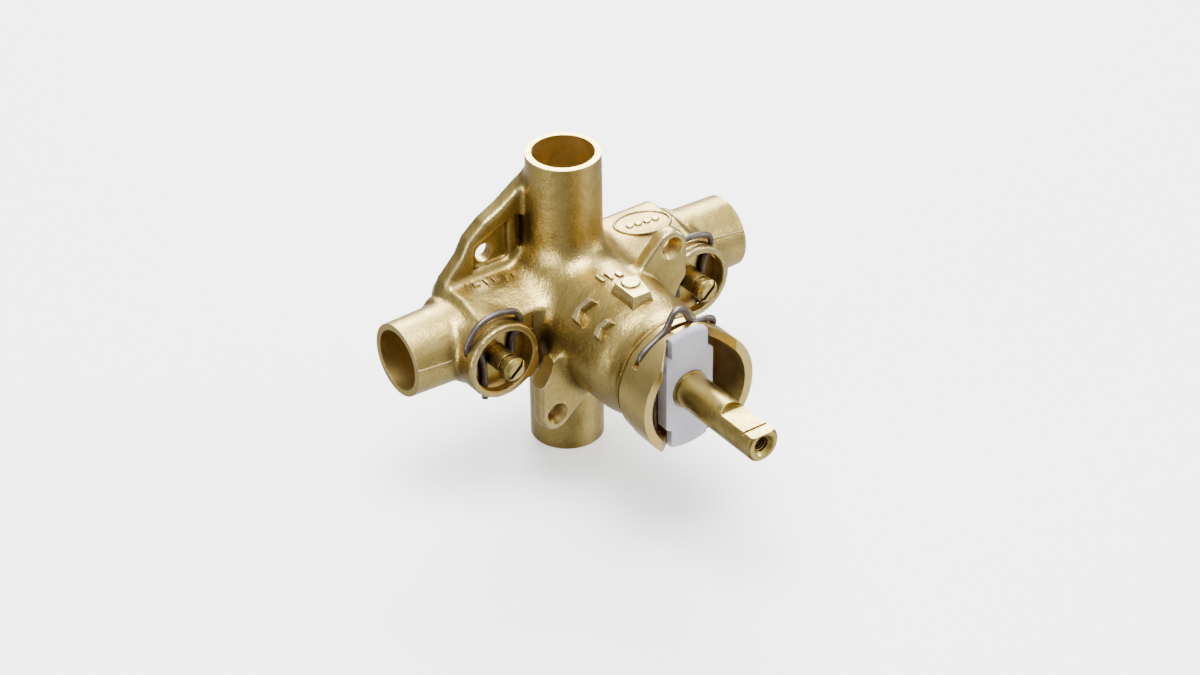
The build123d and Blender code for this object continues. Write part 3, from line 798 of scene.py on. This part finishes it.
def softbox(name, place, size, power):
    """A soft light turned to the valve."""
    data = bpy.data.lights.new(name, "AREA")
    data.shape = "RECTANGLE"
    data.size, data.size_y = size
    data.energy = power
    piece = new_object(name, data)
    piece.location = place
    piece.rotation_euler = (-Vector(place)).to_track_quat("-Z", "Y").to_euler()


def room():
    """The light from all round, which changes with the height and from left to right."""
    world = bpy.data.worlds.new("studio")
    bpy.context.scene.world = world
    world.use_nodes = True
    tree = world.node_tree
    background = tree.nodes["Background"]
    place = tree.nodes.new("ShaderNodeTexCoord")
    axes = tree.nodes.new("ShaderNodeSeparateXYZ")
    tree.links.new(place.outputs["Generated"], axes.inputs["Vector"])
    for axis, stops, socket in (("Z", ROOM_HEIGHT, "Color"), ("X", ROOM_WIDTH, "Strength")):
        share = tree.nodes.new("ShaderNodeMapRange")
        share.inputs["From Min"].default_value = -1.0
        tree.links.new(axes.outputs[axis], share.inputs["Value"])
        band = tree.nodes.new("ShaderNodeValToRGB")
        tree.links.new(share.outputs["Result"], band.inputs["Fac"])
        elements = band.color_ramp.elements
        while len(elements) < len(stops):
            elements.new(0.5)
        for element, (where, level) in zip(elements, stops):
            element.position = where
            element.color = (level, level, level, 1.0)
        tree.links.new(band.outputs["Color"], background.inputs[socket])


def backdrop(level):
    """A pale wall far round the floor that curves up from it and only the camera sees."""
    floor_reach, lean, height, steps = 2.9, 0.9, 2.6, 12
    mesh = bmesh.new()
    rings = []
    for n in range(steps + 1):
        turn = math.pi / 2 * n / steps
        radius = floor_reach - lean * (1 - math.sin(turn))
        z = level - 0.001 + height * (1 - math.cos(turn))
        ring = [(radius * math.cos(a), radius * math.sin(a), z) for a in circle(72)]
        rings.append([mesh.verts.new(p) for p in ring])
    wall = lofted("backdrop", mesh, rings, "open")
    wall.data.shade_smooth()
    wall.data.materials.append(floor_paint())
    wall.visible_glossy = wall.visible_diffuse = wall.visible_shadow = False
    return wall


def studio():
    """The room, four soft lights, and a pale floor just under the tub outlet."""
    room()
    for light in SOFTBOXES:
        softbox(*light)
    mesh = bmesh.new()
    bmesh.ops.create_grid(mesh, x_segments=4, y_segments=4, size=3.0)
    floor = finished("floor", mesh)
    floor.location.z = -OUTLET_REACH * MM - 0.0002
    floor.data.materials.append(floor_paint())
    # The brass reflects the lower half of the room in place of the floor
    floor.visible_glossy = False
    backdrop(floor.location.z)


def dress(piece, node, body_name, look):
    """Give a piece its finish and its body, and let it stand for a node if one is named."""
    piece.data.shade_smooth()
    piece.data.materials.append(LOOKS[look])
    if node:
        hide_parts(node)
    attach(piece, body_name)


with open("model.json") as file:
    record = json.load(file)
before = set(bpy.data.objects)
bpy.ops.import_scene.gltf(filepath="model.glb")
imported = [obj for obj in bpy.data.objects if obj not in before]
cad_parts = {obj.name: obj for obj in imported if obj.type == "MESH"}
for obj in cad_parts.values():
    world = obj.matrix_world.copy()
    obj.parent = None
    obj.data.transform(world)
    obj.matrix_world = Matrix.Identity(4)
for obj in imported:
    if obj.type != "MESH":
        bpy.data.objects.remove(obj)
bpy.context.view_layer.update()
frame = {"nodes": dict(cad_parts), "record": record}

# A material for each of the record's material slots, and all CAD nodes in theirs
LOOKS = {
    "cast_brass": cast_brass(),
    "turned_brass": turned_brass(),
    "grey_plastic": grey_plastic(),
    "spring_wire": spring_wire(),
    "spool_steel": ground_steel(),
    "seal_rubber": seal_rubber(),
}
look_names = {entry["node"]: entry["material_slot"] for entry in frame["record"]["subparts"]}
for node, piece in frame["nodes"].items():
    for material_slot in piece.material_slots:
        material_slot.material = LOOKS[look_names[node]]

body = cast_body(LOOKS["cast_brass"], machined_brass())
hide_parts("valve_body")
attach(body, "body")

clip = bent("barrel_clip_wire", 7.45, -14.0, 7.4, BARREL_LOOP, 0, BARREL_CLIP_Y, 0.88)
dress(clip, "cartridge_clip", "body", "spring_wire")
for word, sign in (("hot", -1), ("cold", 1)):
    name = word + "_stop_clip"
    clip = bent(name + "_wire", 4.05, -11.4, 3.4, STOP_LOOP, sign * STOP_X, STOP_CLIP_Y, 0.84)
    dress(clip, name, "body", "spring_wire")
dress(stem_thread(), None, "stem", "turned_brass")

studio()
camera(35.45, 34.16, 0.53, (-0.39241, -0.56627, 0.45365), 96.6)
